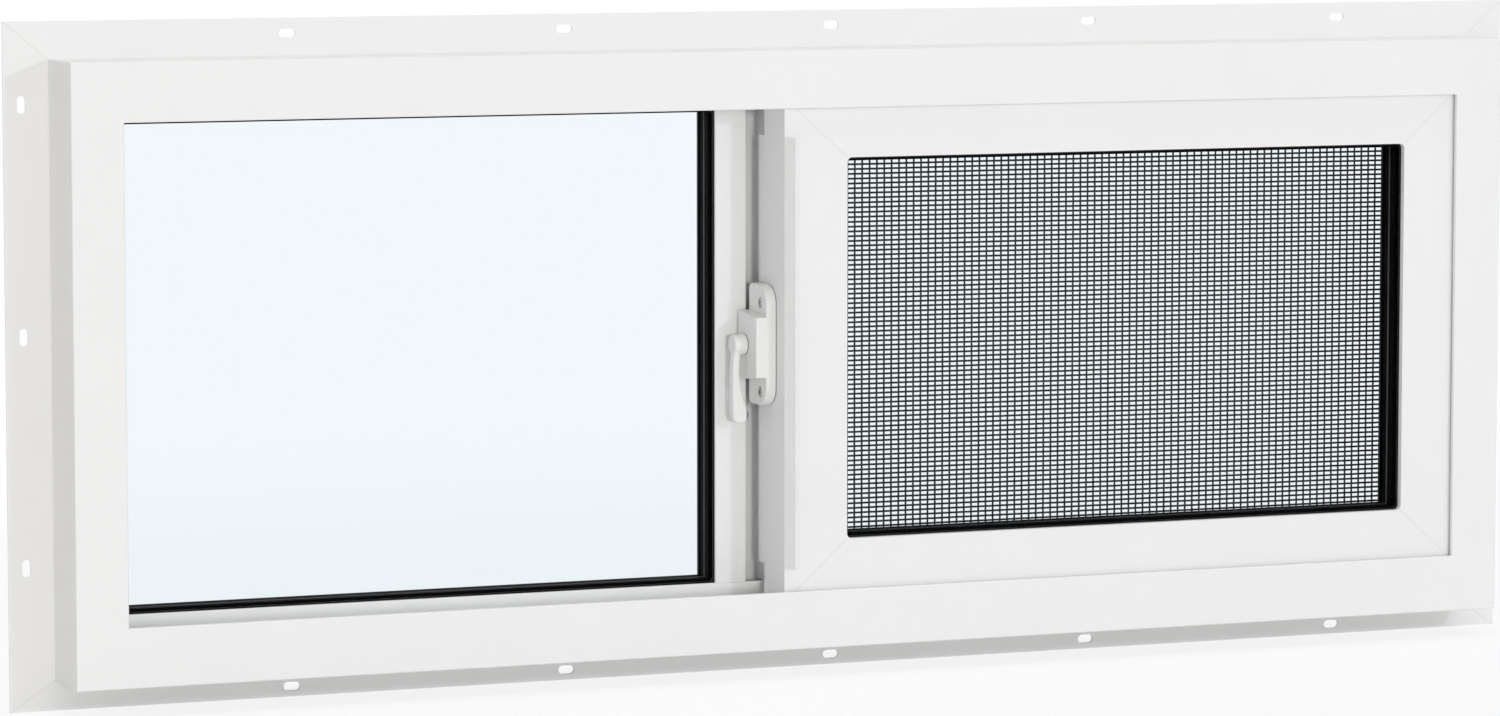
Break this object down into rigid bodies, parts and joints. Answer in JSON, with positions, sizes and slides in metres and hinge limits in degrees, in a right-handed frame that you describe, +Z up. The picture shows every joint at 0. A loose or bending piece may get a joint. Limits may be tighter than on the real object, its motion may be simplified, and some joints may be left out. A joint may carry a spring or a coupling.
{
  "type": "sliding basement window",
  "caption": "White vinyl sliding basement window: fixed pane, sliding sash with finger pull and cam lock, insect screen and a slotted nailing fin.",
  "frame": {"origin": "on the wall-side face of the bottom nailing fin, on the window's centre line, 4 mm below the frame's underside", "axes": "+X along the window towards the sliding sash, +Y towards the exterior, +Z up"},
  "size_m": [0.9656, 0.0828, 0.3944],
  "materials": {
    "frame_vinyl": "smooth white vinyl, satin sheen",
    "sash_vinyl": "smooth white vinyl, satin sheen",
    "fin_vinyl": "smooth white vinyl, satin sheen",
    "clear_glass": "clear float glass",
    "black_spacer": "black warm-edge spacer",
    "black_gasket": "black glazing rubber",
    "setting_block_rubber": "dark rubber",
    "lock_white_enamel": "white enamel, soft gloss",
    "lock_steel": "zinc-plated steel",
    "roller_nylon": "white nylon",
    "grey_pile": "grey woven pile",
    "screen_bar_white": "white painted aluminium",
    "screen_spline_vinyl": "black vinyl cord",
    "black_screen_mesh": "black coated glass-fibre mesh"
  },
  "bodies": {
    "root": {"exterior_bead_bottom": "frame_vinyl", "exterior_bead_left": "frame_vinyl", "exterior_bead_right": "frame_vinyl", "exterior_bead_top": "frame_vinyl", "fixed_gasket": "black_gasket", "fixed_glass_inner": "clear_glass", "fixed_glass_outer": "clear_glass", "fixed_jamb_stop": "frame_vinyl", "fixed_mullion": "frame_vinyl", "fixed_spacer": "black_spacer", "frame_head": "frame_vinyl", "frame_jamb_left": "frame_vinyl", "frame_jamb_right": "frame_vinyl", "frame_sill": "frame_vinyl", "lock_cam": "lock_steel", "lock_case": "lock_white_enamel", "lock_keeper": "lock_steel", "lock_lever": "lock_white_enamel", "mullion_cover": "frame_vinyl", "nail_fin_bottom": "fin_vinyl", "nail_fin_left": "fin_vinyl", "nail_fin_right": "fin_vinyl", "nail_fin_top": "fin_vinyl", "pile_weatherstrips": "grey_pile", "roller_carriers": "roller_nylon", "sash_bead_bottom": "sash_vinyl", "sash_bead_left": "sash_vinyl", "sash_bead_right": "sash_vinyl", "sash_bead_top": "sash_vinyl", "sash_bottom_rail": "sash_vinyl", "sash_gasket": "black_gasket", "sash_glass_inner": "clear_glass", "sash_glass_outer": "clear_glass", "sash_jamb_stile": "sash_vinyl", "sash_meeting_stile": "sash_vinyl", "sash_rollers": "roller_nylon", "sash_spacer": "black_spacer", "sash_top_rail": "sash_vinyl", "screen_bar_bottom": "screen_bar_white", "screen_bar_left": "screen_bar_white", "screen_bar_right": "screen_bar_white", "screen_bar_top": "screen_bar_white", "screen_mesh": "black_screen_mesh", "screen_spline": "screen_spline_vinyl", "setting_blocks": "setting_block_rubber"}
  },
  "joints": []
}
